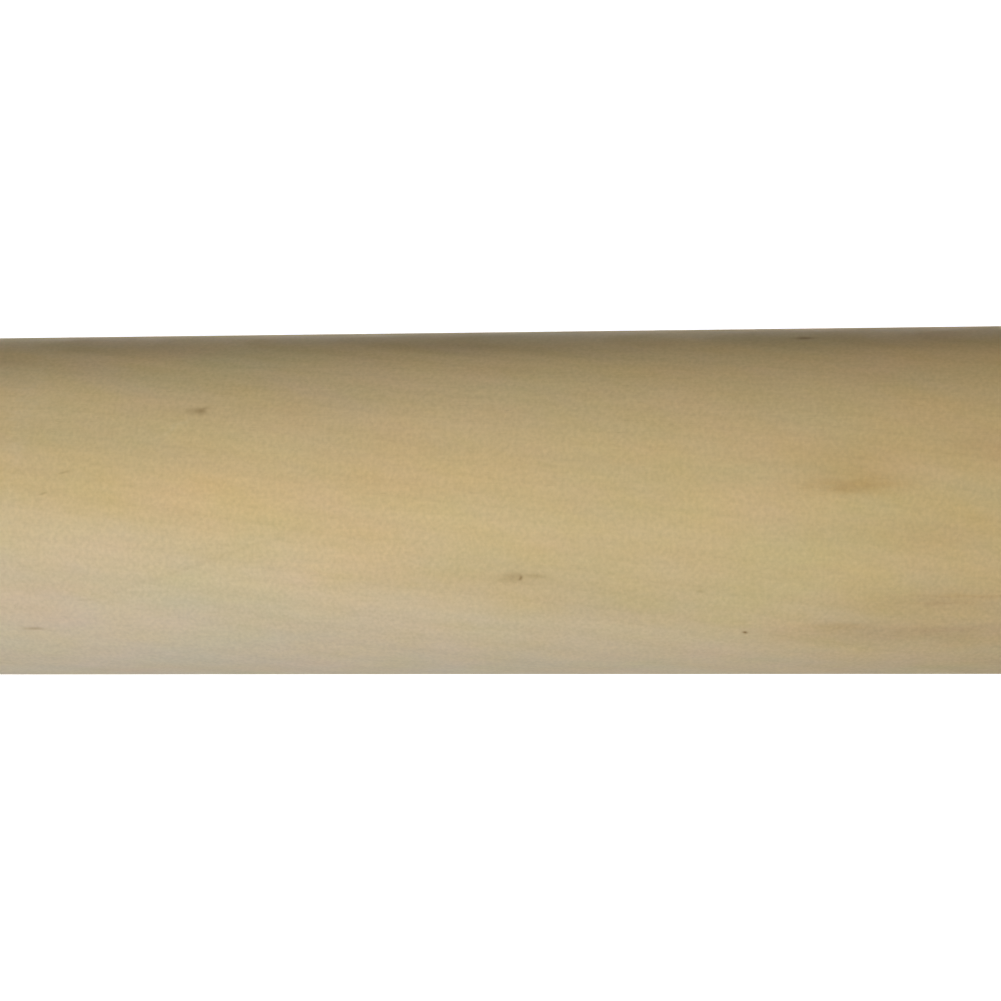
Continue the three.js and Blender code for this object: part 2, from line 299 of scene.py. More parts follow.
def colour(red, green, blue):
    """A colour that is written from 0 to 255, as a screen shows it, by the sRGB curve."""
    shares = (channel / 255 for channel in (red, green, blue))
    return (*(((share + 0.055) / 1.055) ** 2.4 for share in shares), 1.0)


class Field:
    """A number that varies over a surface: an output of a shader node, with arithmetic."""

    def __init__(self, graph, socket):
        self.graph = graph
        self.socket = socket

    def __add__(self, other):
        return self.graph.math("ADD", self, other)

    def __sub__(self, other):
        return self.graph.math("SUBTRACT", self, other)

    def __mul__(self, other):
        return self.graph.math("MULTIPLY", self, other)

    def __truediv__(self, other):
        return self.graph.math("DIVIDE", self, other)

    __radd__ = __add__
    __rmul__ = __mul__

    def __rsub__(self, other):
        return self.graph.math("SUBTRACT", other, self)

    def rise(self, start, end):
        """0 up to start, 1 from end, and smooth between."""
        node = self.graph.add("ShaderNodeMapRange", self, start, end, interpolation_type="SMOOTHSTEP")
        return Field(self.graph, node.outputs["Result"])


class Graph:
    """A material's shader nodes. Its lengths are millimetres from the middle of the barrel's axis."""

    def __init__(self, name):
        self.material = bpy.data.materials.new(name)
        self.material.use_nodes = True
        self.tree = self.material.node_tree
        self.shader = self.tree.nodes["Principled BSDF"]
        coordinates = self.add("ShaderNodeTexCoord").outputs["Object"]
        split = self.add("ShaderNodeSeparateXYZ", Field(self, coordinates))
        metres = [Field(self, split.outputs[axis]) for axis in "XYZ"]
        self.x = metres[0] / MM
        self.y = metres[1] / MM
        self.z = metres[2] / MM - AXIS_HEIGHT
        self.radius = self.math("SQRT", self.y * self.y + self.z * self.z)
        self.turn = self.math("ARCTAN2", self.z, self.y * -1)

    def add(self, kind, *values, **settings):
        """A node with its first inputs fed by values and its settings made."""
        node = self.tree.nodes.new(kind)
        for key, setting in settings.items():
            setattr(node, key, setting)
        for socket, value in zip(node.inputs, values):
            self.feed(socket, value)
        return node

    def feed(self, socket, value):
        """Links a field to a socket, or sets a plain value on it."""
        if isinstance(value, Field):
            self.tree.links.new(value.socket, socket)
        else:
            socket.default_value = value

    def math(self, operation, *values):
        return Field(self, self.add("ShaderNodeMath", *values, operation=operation).outputs[0])

    def vector(self, *values):
        return Field(self, self.add("ShaderNodeCombineXYZ", *values).outputs[0])

    def noise(self, *values, detail=2.0):
        """Noise from about -0.5 to 0.5 whose spots are about one unit across."""
        node = self.tree.nodes.new("ShaderNodeTexNoise")
        self.feed(node.inputs["Vector"], self.vector(*values))
        node.inputs["Scale"].default_value = 1.0
        node.inputs["Detail"].default_value = detail
        return Field(self, node.outputs[0]) - 0.5

    def grain(self, along, across, detail=2.0):
        """Noise whose spots are so many millimetres long along the axle and so many wide across it."""
        return self.noise(self.x / along, self.y / across, self.z / across, detail=detail)

    def mix(self, share, first, second):
        """The first colour where share is 0 and the second where it is 1."""
        node = self.tree.nodes.new("ShaderNodeMix")
        node.data_type = "RGBA"
        for index, value in zip(MIX_INPUTS, (share, first, second)):
            self.feed(node.inputs[index], value)
        return Field(self, node.outputs[MIX_OUTPUT])

    def times(self, tint, balance):
        """A colour with its channels multiplied by a balance near 1."""
        return Field(self, self.add("ShaderNodeVectorMath", tint, balance, operation="MULTIPLY").outputs[0])

    def spot(self, plane, mark):
        """A mark's strength in its middle on the unrolled barrel, falling to 0 round it."""
        node = self.add("ShaderNodeMapping", plane, vector_type="TEXTURE")
        node.inputs["Location"].default_value = (mark.x, math.radians(mark.turn) * BARREL_RADIUS, 0)
        node.inputs["Rotation"].default_value = (0, 0, math.radians(mark.lean))
        node.inputs["Scale"].default_value = (mark.length / 2, mark.width / 2, 1)
        local = Field(self, node.outputs[0])
        square = self.add("ShaderNodeVectorMath", local, local, operation="DOT_PRODUCT")
        return self.math("EXPONENT", Field(self, square.outputs["Value"]) * -1) * mark.strength

    def marks(self, plane, marks):
        """The strength of several marks together."""
        return sum(self.spot(plane, mark) for mark in marks)

    def finish(self, tint, roughness, height, depth):
        """Sends colour, roughness and relief, with depth in millimetres, to the shader."""
        self.feed(self.shader.inputs["Base Color"], tint)
        self.feed(self.shader.inputs["Roughness"], roughness)
        bump = self.tree.nodes.new("ShaderNodeBump")
        bump.inputs["Distance"].default_value = depth * MM
        self.feed(bump.inputs["Height"], height)
        self.tree.links.new(bump.outputs["Normal"], self.shader.inputs["Normal"])
        return self.material


# Maple

SAPWOOD = colour(204, 191, 166)
HEARTWOOD = colour(210, 186, 137)
WARM = colour(180, 142, 86)
ROSE = colour(178, 141, 112)
DARK = colour(108, 73, 4)
PALE = colour(226, 213, 180)
UMBER = colour(126, 106, 70)
OLIVE = colour(112, 168, 124)

# The grain: how long and wide its features are, and how far each one shifts the colour
RING_WIDTH = 2.7
RING_WANDER = 7.0
WANDER_SIZE = (90, 24)
LATEWOOD_RISE = (0.35, 0.9)
LATEWOOD_FALL = (0.92, 1.0)
BAND_SIZE = (160, 6)
BAND_CONTRAST = 0.12
CLOUD_SIZE = (30, 9)
CLOUD_CONTRAST = 0.09
FIBRE_SIZE = (16, 0.45)
SPECKLE_SIZE = (0.75, 0.8)
FLECK_SIZE = (2.6, 0.26)
FLECK_RISE = (0.12, 0.3)
FLECK_CONTRAST = 0.04
ROSY_SIZE = (24, 9)
ROSINESS = 0.17
YELLOW_SIZE = (22, 8)
YELLOWNESS = 0.3

# A browner band near the pith, which is painted shade: it lies along the barrel's top back and darkens its
# top edge. Also how far the bands fray its edge and the heartwood's
PAINTED_SHADE_CORE = (10, 17.5)
PAINTED_SHADE_SHARE = 0.42
FRAYED_EDGE = 8

# End grain, where the wood is cut across
END_GRAIN_RISE = (0.7, 0.95)
END_GRAIN_LATEWOOD = 0.1
END_GRAIN_SHADE = 0.14

# The satin surface
WOOD_ROUGHNESS = 0.58
FIBRE_ROUGHNESS = 0.12
LATEWOOD_ROUGHNESS = 0.04
END_GRAIN_ROUGHNESS = 0.12
WOOD_SHEEN = 0.06
WOOD_RELIEF = 0.04
GRAIN_HEIGHT = 0.5

# Marks on the barrel: place along it and turn up from the front, length, width, lean and strength
Mark = namedtuple("Mark", "x turn length width lean strength")
KNOTS = (
    # The upper knot, its halo and its wisps
    Mark(-55.9, 91.4, 1.7, 1.3, 0, 0.26),
    Mark(-56.4, 91.6, 3.4, 1.7, 0, 0.2),
    Mark(-58.2, 91.7, 2.2, 1.0, 0, 0.11),
    Mark(-54.9, 92.8, 2.0, 0.7, 25, 0.12),
    # The lower knot, its halo and its wisps
    Mark(6.3, 35.8, 0.6, 0.9, 0, 0.44),
    Mark(5.0, 36.2, 4.4, 2.3, 4, 0.22),
    Mark(2.8, 35.5, 3.2, 1.0, 18, 0.06),
    Mark(9.2, 36.5, 3.8, 0.8, 0, 0.22),
    # Specks near the lower and the upper edge
    Mark(49.1, 13.8, 0.9, 0.9, 0, 0.76),
    Mark(61.5, 127.0, 3.6, 1.4, 0, 0.55),
    # Short dashes
    Mark(-82.0, 70.7, 2.2, 0.45, 14, 0.23),
    Mark(-86.0, 63.9, 1.6, 0.45, 14, 0.25),
    Mark(-90.6, 16.4, 4.2, 0.9, 0, 0.3),
    Mark(40.6, 31.0, 1.2, 0.8, 0, 0.2),
    # A long faint slanting line
    Mark(-57.0, 40.5, 40.0, 1.0, 19, 0.06),
)
WARM_STREAKS = (
    Mark(-40.0, 93.5, 34.0, 5.0, 4, 0.1),
    Mark(-5.0, 36.0, 36.0, 7.0, 0, 0.1),
    Mark(69.8, 65.2, 17.0, 2.8, 0, 0.36),
    Mark(69.0, 72.0, 24.0, 10.0, 0, 0.18),
    Mark(67.0, 16.4, 13.0, 2.4, 0, 0.2),
    Mark(82.0, 50.5, 50.0, 7.0, 0, 0.12),
    Mark(95.0, 76.0, 16.0, 6.0, 0, 0.2),
    Mark(91.0, 28.6, 18.0, 1.0, 0, 0.22),
    Mark(86.0, 26.4, 12.0, 1.0, 0, 0.16),
    Mark(-92.0, 25.0, 40.0, 14.0, 0, 0.12),
)
ROSE_STREAKS = (
    Mark(81.0, 13.4, 48.0, 6.0, 0, 0.28),
    Mark(88.5, 15.2, 14.0, 2.0, 0, 0.14),
    Mark(84.0, 25.5, 34.0, 5.0, 0, 0.2),
)
UMBER_STREAKS = (
    Mark(16.0, 30.0, 40.0, 36.0, 0, 0.09),
)
OLIVE_STREAKS = (
    Mark(58.0, 40.0, 90.0, 26.0, 0, 0.09),
)
PALE_STREAKS = (
    Mark(-60.6, 85.5, 5.0, 0.9, 42, 0.12),
    Mark(-91.0, 90.0, 48.0, 3.0, 84, 0.08),
    Mark(-70.0, 103.0, 200.0, 24.0, 0, 0.16),
)
STREAKS = (
    (ROSE_STREAKS, ROSE),
    (UMBER_STREAKS, UMBER),
    (OLIVE_STREAKS, OLIVE),
    (PALE_STREAKS, PALE),
)

# How far a ragged noise pushes the knots and the streaks about, along the barrel and round it
RAGGED_SIZE = (6, 1.6)
KNOT_RAGGED = (1, 0.8)
STREAK_RAGGED = (10, 3)

# The barrel's right-hand end is warmer, less so towards the front, where it is a little darker
WARM_RISE = (10, 130)
WARM_END = 0.2
WARM_BANDS = 0.3
PALE_FRONT = 0.4
DARK_END = 0.13


def barrel_marks(graph, tint, bands):
    """The barrel's own marks: its tint with them, how much darker it is in places, and its knots."""
    ragged = graph.grain(*RAGGED_SIZE, detail=FINE_DETAIL)
    unrolled = graph.turn * BARREL_RADIUS
    knot_plane, streak_plane = (
        graph.vector(graph.x + ragged * along, unrolled + ragged * across, 0.0)
        for along, across in (KNOT_RAGGED, STREAK_RAGGED)
    )
    rightward = graph.x.rise(*WARM_RISE)
    forward = (graph.y / -BARREL_RADIUS).rise(0.0, 1.0)
    warmth = rightward * (WARM_END + bands * WARM_BANDS) * (1 - forward * PALE_FRONT)
    tint = graph.mix(graph.marks(streak_plane, WARM_STREAKS) + warmth, tint, WARM)
    for streaks, dye in STREAKS:
        tint = graph.mix(graph.marks(streak_plane, streaks), tint, dye)
    knots = graph.marks(knot_plane, KNOTS)
    return graph.mix(knots, tint, DARK), rightward * forward * DARK_END, knots


def maple(name, pith_turn, pith_offset, tilt, heart, latewood, fibre, speckling, marked):
    """Satin maple, with rings round a pith to one side of the axle.

    The pith lies pith_offset from the axle, pith_turn degrees up from the front, and tilt is the slope of
    the rings along the axle. The heartwood fades out between two distances from the pith. Latewood, fibre
    and speckling are contrasts, and marked adds the barrel's own marks.
    """
    graph = Graph(name)
    x, y, z = graph.x, graph.y, graph.z
    across = y + pith_offset * math.cos(math.radians(pith_turn))
    upward = z - pith_offset * math.sin(math.radians(pith_turn))
    reach = graph.math("SQRT", across * across + upward * upward)
    ring = reach + graph.grain(*WANDER_SIZE) * RING_WANDER + x * tilt
    bands = graph.noise(ring / BAND_SIZE[1], x / BAND_SIZE[0], 0.0)
    phase = graph.math("FRACT", ring / RING_WIDTH + bands)
    late = phase.rise(*LATEWOOD_RISE) - phase.rise(*LATEWOOD_FALL)
    fibres = graph.grain(*FIBRE_SIZE, detail=FINE_DETAIL)
    flecks = graph.grain(*FLECK_SIZE).rise(*FLECK_RISE)
    speckle = graph.grain(*SPECKLE_SIZE, detail=FINE_DETAIL)
    clouds = graph.grain(*CLOUD_SIZE)
    rosy = graph.noise(x / ROSY_SIZE[0], z / ROSY_SIZE[1], y / ROSY_SIZE[1], detail=FINE_DETAIL)
    along = x / YELLOW_SIZE[0]
    yellow = graph.noise(along, z / YELLOW_SIZE[1], along + y / YELLOW_SIZE[1], detail=FINEST_DETAIL)

    normal = graph.add("ShaderNodeNewGeometry").outputs["Normal"]
    facing = Field(graph, graph.add("ShaderNodeSeparateXYZ", Field(graph, normal)).outputs["X"])
    end_grain = graph.math("ABSOLUTE", facing).rise(*END_GRAIN_RISE)

    tint = graph.mix((ring + bands * FRAYED_EDGE).rise(*heart), HEARTWOOD, SAPWOOD)
    # Painted shade: a browner band near the pith, which on the barrel lies along its top back and darkens
    # the top edge
    painted_shade = 1 - (reach + bands * FRAYED_EDGE).rise(*PAINTED_SHADE_CORE)
    tint = graph.mix(painted_shade * PAINTED_SHADE_SHARE, tint, UMBER)
    shade = 1 + bands * BAND_CONTRAST + clouds * CLOUD_CONTRAST
    shade = shade + fibres * fibre + speckle * speckling
    shade = shade - flecks * FLECK_CONTRAST - late * (latewood + end_grain * END_GRAIN_LATEWOOD)
    shade = shade - end_grain * END_GRAIN_SHADE
    relief = (fibres + speckle - flecks) * GRAIN_HEIGHT
    if marked:
        tint, darkness, knots = barrel_marks(graph, tint, bands)
        shade = shade - darkness
        relief = relief - knots
    balance = graph.vector(shade + rosy * ROSINESS, shade, shade - yellow * YELLOWNESS)
    roughness = WOOD_ROUGHNESS + fibres * FIBRE_ROUGHNESS + late * LATEWOOD_ROUGHNESS
    roughness = roughness + end_grain * END_GRAIN_ROUGHNESS
    graph.shader.inputs["Specular IOR Level"].default_value = WOOD_SHEEN
    return graph.finish(graph.times(tint, balance), roughness, relief, WOOD_RELIEF)


# Steel

STEEL = colour(180, 180, 182)
STEEL_POLISHED = colour(186, 187, 190)
STEEL_DULL = colour(152, 153, 156)
STEEL_DARK = colour(128, 129, 132)
STEEL_BARE = colour(126, 128, 132)
SPRING_BRIGHT = colour(140, 140, 142)
SPRING_DULL = colour(104, 104, 106)

# Rings of tool marks, with their spacing and how far they run round, soft smears and fine specks
TOOL_PITCH = 0.12
TOOL_RUN = 0.7
TOOL_ROUGHNESS = 0.15
SMEAR_SIZE = (5, 5)
SMEAR_ROUGHNESS = 0.12
SPECK_SIZE = (0.4, 0.4)
SPECK_RISE = (0.16, 0.3)
SPECK_ROUGHNESS = 0.06
SPECK_DEPTH = 0.2
BRIGHT_RISE = (-0.3, 0.4)
STEEL_RELIEF = 0.012


def steel(name, bright, dull, roughness, lines):
    """Turned steel of a mean roughness: rings of tool marks round the axle, soft smears and fine specks."""
    graph = Graph(name)
    rings = (graph.radius / TOOL_PITCH, graph.x / TOOL_PITCH, graph.turn / TOOL_RUN)
    tool = graph.noise(*rings, detail=FINE_DETAIL) * lines
    smear = graph.grain(*SMEAR_SIZE, detail=FINE_DETAIL)
    specks = graph.grain(*SPECK_SIZE).rise(*SPECK_RISE)
    tint = graph.mix((smear + tool).rise(*BRIGHT_RISE), dull, bright)
    rough = roughness + smear * SMEAR_ROUGHNESS + tool * TOOL_ROUGHNESS + specks * SPECK_ROUGHNESS
    graph.shader.inputs["Metallic"].default_value = 1.0
    return graph.finish(tint, rough, tool - specks * SPECK_DEPTH, STEEL_RELIEF)


# Nylon

NYLON = colour(214, 208, 190)
NYLON_PALE = colour(226, 221, 206)
FLOW_ROUND = 4
FLOW_DEPTH = 3
FLOW_LENGTH = 4
FLOW_RISE = (-0.3, 0.3)
NYLON_GRAIN = (0.15, 0.15)
NYLON_ROUGHNESS = 0.52
NYLON_SPARKLE = 0.1
NYLON_RELIEF = 0.01


def nylon(name):
    """Natural moulded nylon: waxy, with a fine sparkle of roughness and a hint of flow."""
    graph = Graph(name)
    flow = graph.noise(graph.turn * FLOW_ROUND, graph.radius / FLOW_DEPTH, graph.x / FLOW_LENGTH)
    grain = graph.grain(*NYLON_GRAIN)
    tint = graph.mix(flow.rise(*FLOW_RISE), NYLON, NYLON_PALE)
    return graph.finish(tint, NYLON_ROUGHNESS + grain * NYLON_SPARKLE, grain, NYLON_RELIEF)


# The barrel's pith lies just beyond its top back, so that the browner band near the pith falls on the top
# edge as painted shade
barrel_maple = maple(
    "barrel_maple",
    pith_turn=130,
    pith_offset=48,
    tilt=-0.12,
    heart=(49, 86),
    latewood=0.02,
    fibre=0.06,
    speckling=0.3,
    marked=True,
)
handle_maple = maple(
    "handle_maple",
    pith_turn=70,
    pith_offset=40,
    tilt=-0.04,
    heart=(38, 60),
    latewood=0.07,
    fibre=0.1,
    speckling=0.17,
    marked=False,
)
cup_steel = steel("cup_steel", STEEL, STEEL_DULL, roughness=0.3, lines=1.0)
shield_steel = steel("shield_steel", STEEL_DULL, STEEL_DARK, roughness=0.34, lines=0.3)
collar_steel = steel("collar_steel", STEEL, STEEL_DULL, roughness=0.24, lines=0.7)
fastener_steel = steel("fastener_steel", STEEL, STEEL_DULL, roughness=0.16, lines=0.25)
spring_steel = steel("spring_steel", SPRING_BRIGHT, SPRING_DULL, roughness=0.4, lines=0.3)
bearing_steel = steel("bearing_steel", STEEL_POLISHED, STEEL_DULL, roughness=0.12, lines=0.2)
axle_steel = steel("axle_steel", STEEL_DULL, STEEL_BARE, roughness=0.32, lines=0.8)
cage_nylon = nylon("cage_nylon")


# The pieces, each drawn at the right-hand end


def barrel_outline():
    """A plain cylinder with round edges, bored for the axle and stepped at each end for its cup."""
    recess_floor = BARREL_END - FLANGE_THICKNESS - FIT_GAP
    counterbore_floor = CUP_BACK - FIT_GAP
    half = [
        (BARREL_RADIUS, BARREL_END, BARREL_EDGE),
        (FLANGE_RECESS, BARREL_END, METAL_EDGE),
        (FLANGE_RECESS, recess_floor),
        (COUNTERBORE, recess_floor),
        (COUNTERBORE, counterbore_floor),
        (BARREL_BORE, counterbore_floor),
    ]
    mirrored = [(radius, -x, *edge) for radius, x, *edge in reversed(half)]
    return spaced(outline(*mirrored, *half), BARREL_ROW)


def sweep(start, end):
    """A smooth stretch of a turned outline that leaves and arrives along the axle, without its ends."""
    ease = (end[1] - start[1]) * SWEEP_EASE
    made = []
    for step in range(1, SWEEP_STEPS):
        share = step / SWEEP_STEPS
        rest = 1 - share
        leave = rest**3 + 3 * rest**2 * share
        arrive = share**3 + 3 * rest * share**2
        x = leave * start[1] + arrive * end[1] + 3 * rest * share * (rest - share) * ease
        made.append((leave * start[0] + arrive * end[0], x))
    return made


def handle_outline():
    """A shoulder, a neck and a belly in one sweep, with a pocket in the tip for the washers and the nut."""
    shoulder = (SHOULDER_RADIUS, HANDLE_START + SHOULDER_LENGTH)
    neck = (NECK_RADIUS, HANDLE_START + NECK_AT)
    belly = (BELLY_RADIUS, HANDLE_START + BELLY_AT)
    tip = (TIP_RADIUS, HANDLE_END - TIP_LENGTH)
    return outline(
        (JOURNAL_BORE, HANDLE_START),
        (SHOULDER_RADIUS, HANDLE_START, SHOULDER_EDGE),
        shoulder,
        *sweep(shoulder, neck),
        neck,
        *sweep(neck, belly),
        belly,
        *sweep(belly, tip),
        tip,
        (TIP_RADIUS, HANDLE_END, TIP_EDGE),
        (POCKET_RADIUS, HANDLE_END, POCKET_EDGE),
        (POCKET_RADIUS, POCKET_FLOOR),
        (JOURNAL_BORE, POCKET_FLOOR),
    )


def cup_outline():
    flange_back = CUP_FRONT - FLANGE_THICKNESS
    floor_front = CUP_BACK + CUP_FLOOR
    return outline(
        (CUP_HOLE, CUP_BACK),
        (CUP_RADIUS, CUP_BACK, CUP_EDGE),
        (CUP_RADIUS, flange_back),
        (FLANGE_RADIUS, flange_back),
        (FLANGE_RADIUS, CUP_FRONT, METAL_EDGE),
        (CUP_SEAT, CUP_FRONT, METAL_EDGE),
        (CUP_SEAT, floor_front),
        (CUP_HOLE, floor_front),
    )


def groove(start, end):
    """The ball groove's arc on a bearing ring, from one angle about the ball to another."""
    return arc((PITCH_RADIUS, BEARING_MIDDLE), GROOVE_RADIUS, start, end, ARC_STEPS)


def outer_ring_outline():
    reach = math.acos((OUTER_LAND - PITCH_RADIUS) / GROOVE_RADIUS)
    return outline(
        (OUTER_LAND, BEARING_BACK),
        (BEARING_RADIUS, BEARING_BACK, OUTER_RING_EDGE),
        (BEARING_RADIUS, BEARING_FRONT, OUTER_RING_EDGE),
        (OUTER_LAND, BEARING_FRONT),
        *groove(reach, -reach),
    )


def inner_ring_outline():
    reach = math.acos((PITCH_RADIUS - INNER_LAND) / GROOVE_RADIUS)
    return outline(
        (JOURNAL_BORE, BEARING_BACK, INNER_RING_EDGE),
        (INNER_LAND, BEARING_BACK),
        *groove(math.pi + reach, math.pi - reach),
        (INNER_LAND, BEARING_FRONT),
        (JOURNAL_BORE, BEARING_FRONT, INNER_RING_EDGE),
    )


def shield_outline():
    """A pressed disc with a rim behind it and a shallow bead round its face."""
    web_back = SHIELD_FRONT - SHIELD_WEB
    rim = BEARING_RADIUS - SHIELD_RIM
    bead = []
    for step in range(ARC_STEPS + 1):
        share = step / ARC_STEPS
        radius = SHIELD_BEAD_RADIUS + SHIELD_BEAD_WIDTH * (0.5 - share)
        dip = SHIELD_BEAD_DEPTH * math.sin(math.pi * share) ** 2
        bead.append((radius, SHIELD_FRONT - dip))
    return outline(
        (SHIELD_HOLE, web_back),
        (rim, web_back),
        (rim, SHIELD_BACK),
        (BEARING_RADIUS, SHIELD_BACK),
        (BEARING_RADIUS, SHIELD_FRONT, METAL_EDGE),
        *bead,
        (SHIELD_HOLE, SHIELD_FRONT, METAL_EDGE),
    )


def collar_outline():
    flange_back = COLLAR_FRONT - COLLAR_THICKNESS
    return outline(
        (JOURNAL_BORE, COLLAR_BACK),
        (SLEEVE_RADIUS, COLLAR_BACK, METAL_EDGE),
        (SLEEVE_RADIUS, flange_back, METAL_EDGE),
        (COLLAR_RADIUS, flange_back, COLLAR_EDGE),
        (COLLAR_RADIUS, COLLAR_FRONT, COLLAR_EDGE),
        (JOURNAL_BORE, COLLAR_FRONT),
    )


def washer_outline():
    return outline(
        (WASHER_HOLE, WASHER_BACK),
        (WASHER_RADIUS, WASHER_BACK, WASHER_EDGE),
        (WASHER_RADIUS, WASHER_FRONT, METAL_EDGE),
        (WASHER_HOLE, WASHER_FRONT, METAL_EDGE),
    )


def spring_outline():
    """A conical washer, whose outer edge stands on the flat one."""
    return outline(
        (WASHER_HOLE, SPRING_FRONT - SPRING_THICKNESS),
        (SPRING_RADIUS, SPRING_BACK, SPRING_EDGE),
        (SPRING_RADIUS, SPRING_BACK + SPRING_THICKNESS, SPRING_EDGE),
        (WASHER_HOLE, SPRING_FRONT),
    )


def thread(x, angle):
    """The radius of the axle's right-hand thread at a place along it and an angle round it."""
    turns = x / THREAD_PITCH - angle / (2 * math.pi)
    off_crest = abs(2 * (turns % 1) - 1)
    share = (off_crest - THREAD_CREST) / (1 - THREAD_CREST - THREAD_ROOT)
    return THREAD_RADIUS - THREAD_DEPTH * min(max(share, 0), 1)


def thread_rows(start, end):
    """Where a thread's rows of points lie along the axle."""
    rows = math.ceil(abs(end - start) / THREAD_ROW)
    return [start + (end - start) * row / rows for row in range(rows + 1)]


def axle_half(angle):
    """The axle's corners at an angle round it, from its thick middle to its tapered right-hand end."""
    shoulder = BEARING_BACK - FIT_GAP
    end_radius = THREAD_RADIUS - THREAD_DEPTH
    screw = []
    for x in thread_rows(THREAD_START, AXLE_END):
        taper = end_radius + AXLE_END - x
        screw.append((min(thread(x, angle), taper), x))
    return [
        (AXLE_RADIUS, shoulder, AXLE_EDGE),
        (JOURNAL_RADIUS, shoulder),
        (JOURNAL_RADIUS, THREAD_START, METAL_EDGE),
        *screw,
        (0, AXLE_END),
    ]


def axle_outline(angle):
    """The axle's outline at an angle round it. Its left-hand end is its right-hand end turned round."""
    left = [(radius, -x, *edge) for radius, x, *edge in axle_half(math.pi - angle)]
    return outline(*reversed(left), *axle_half(angle))


def nut_outline(angle):
    """The cap nut's outline at an angle round it: a hexagon under a dome, over a threaded blind hole."""
    sector = math.pi / 3
    off_flat = (angle + sector / 2) % sector - sector / 2
    side = NUT_FLAT / math.cos(off_flat)
    chamfer = (side - NUT_FACE) * math.tan(NUT_CHAMFER)
    hex_front = NUT_BACK + NUT_HEX_HEIGHT
    screw = []
    for x in thread_rows(AXLE_END, NUT_BACK):
        mouth = NUT_HOLE + NUT_HOLE_MOUTH + NUT_BACK - x
        screw.append((max(thread(x, angle) + FIT_GAP, mouth), x))
    return outline(
        (0, NUT_HOLE_FLOOR),
        (NUT_HOLE, NUT_HOLE_FLOOR),
        *screw,
        (NUT_FACE, NUT_BACK),
        (side, NUT_BACK + chamfer),
        (side, hex_front - chamfer),
        (NUT_FACE, hex_front),
        (NUT_DOME + NUT_DOME_FOOT, hex_front),
        (NUT_DOME, hex_front + NUT_DOME_FOOT),
        *arc((0, NUT_FRONT - NUT_DOME), NUT_DOME, 0, math.pi / 2, DOME_STEPS),
    )


def ball(node):
    """A bearing ball as an even sphere of triangles, where the frame's ball is."""
    low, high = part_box(node)
    centre = Matrix.Translation((low + high) / 2)
    shape = bmesh.new()
    bmesh.ops.create_icosphere(shape, subdivisions=BALL_DETAIL, radius=BALL_RADIUS * MM, matrix=centre)
    return finished(shape)


place("barrel_wood", turned(barrel_outline(), BARREL_SIDES), ROLLER, "barrel_maple", barrel_maple, "barrel")
place("axle_turned", revolve(axle_outline, AXLE_SIDES), HANDLES, "axle_steel", axle_steel, "axle")
TURNED = (
    ("handle", handle_outline(), HANDLE_SIDES, HANDLES, "handle_maple", handle_maple),
    ("bearing_cup", cup_outline(), METAL_SIDES, ROLLER, "cup_steel", cup_steel),
    ("outer_ring", outer_ring_outline(), METAL_SIDES, ROLLER, "bearing_steel", bearing_steel),
    ("inner_ring", inner_ring_outline(), METAL_SIDES, HANDLES, "bearing_steel", bearing_steel),
    ("flour_shield", shield_outline(), METAL_SIDES, ROLLER, "shield_steel", shield_steel),
    ("thrust_collar", collar_outline(), METAL_SIDES, HANDLES, "collar_steel", collar_steel),
    ("flat_washer", washer_outline(), METAL_SIDES, HANDLES, "fastener_steel", fastener_steel),
    ("spring_washer", spring_outline(), METAL_SIDES, HANDLES, "spring_steel", spring_steel),
)
for side in SIDES:
    for kind, points, sides, body, slot, material in TURNED:
        mesh = at_side(turned(points, sides), side)
        place(f"{kind}_{side}_turned", mesh, body, slot, material, f"{kind}_{side}")
    nut = at_side(revolve(nut_outline, METAL_SIDES), side)
    place(f"cap_nut_{side}_turned", nut, HANDLES, "fastener_steel", fastener_steel, f"cap_nut_{side}")
    for number in range(1, BALL_COUNT + 1):
        node = f"ball_{side}_{number}"
        place(f"{node}_smooth", ball(node), f"cage_{side}", "bearing_steel", bearing_steel, node)
    cage_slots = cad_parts[f"ball_cage_{side}"].data.materials
    cage_slots.clear()
    cage_slots.append(cage_nylon)


# The studio

# The floor is white to the eye and in reflections, and plain pale matt to the light that it throws back.
# Near the pin it glows a little less than white, so that the pin's shadow shows.
FLOOR_SIZE = 8000
FLOOR_ALBEDO = 0.7
FLOOR_GLOW = 0.78
GLOW_RISE = (400, 1600)
WORLD_LIGHT = 0.08


def seen(tree, unseen, shown):
    """A strength for what the eye or a reflection meets, and another for the light thrown on the pin."""
    path = tree.nodes.new("ShaderNodeLightPath")
    rays = [path.outputs[f"Is {kind} Ray"] for kind in ("Camera", "Glossy", "Transmission")]
    total = rays[0]
    for ray in rays[1:]:
        either = tree.nodes.new("ShaderNodeMath")
        either.operation = "MAXIMUM"
        tree.links.new(total, either.inputs[0])
        tree.links.new(ray, either.inputs[1])
        total = either.outputs[0]
    strength = tree.nodes.new("ShaderNodeMapRange")
    strength.inputs["To Min"].default_value = unseen
    strength.inputs["To Max"].default_value = shown
    tree.links.new(total, strength.inputs["Value"])
    return strength.outputs["Result"]


def floor_material():
    graph = Graph("floor")
    away = graph.math("SQRT", graph.x * graph.x + graph.y * graph.y)
    sockets = graph.shader.inputs
    sockets["Base Color"].default_value = (FLOOR_ALBEDO, FLOOR_ALBEDO, FLOOR_ALBEDO, 1)
    sockets["Roughness"].default_value = 1.0
    sockets["Specular IOR Level"].default_value = 0.0
    graph.feed(sockets["Emission Color"], FLOOR_GLOW + away.rise(*GLOW_RISE) * (1 - FLOOR_GLOW))
    graph.tree.links.new(seen(graph.tree, 0.0, 1.0), sockets["Emission Strength"])
    return graph.material


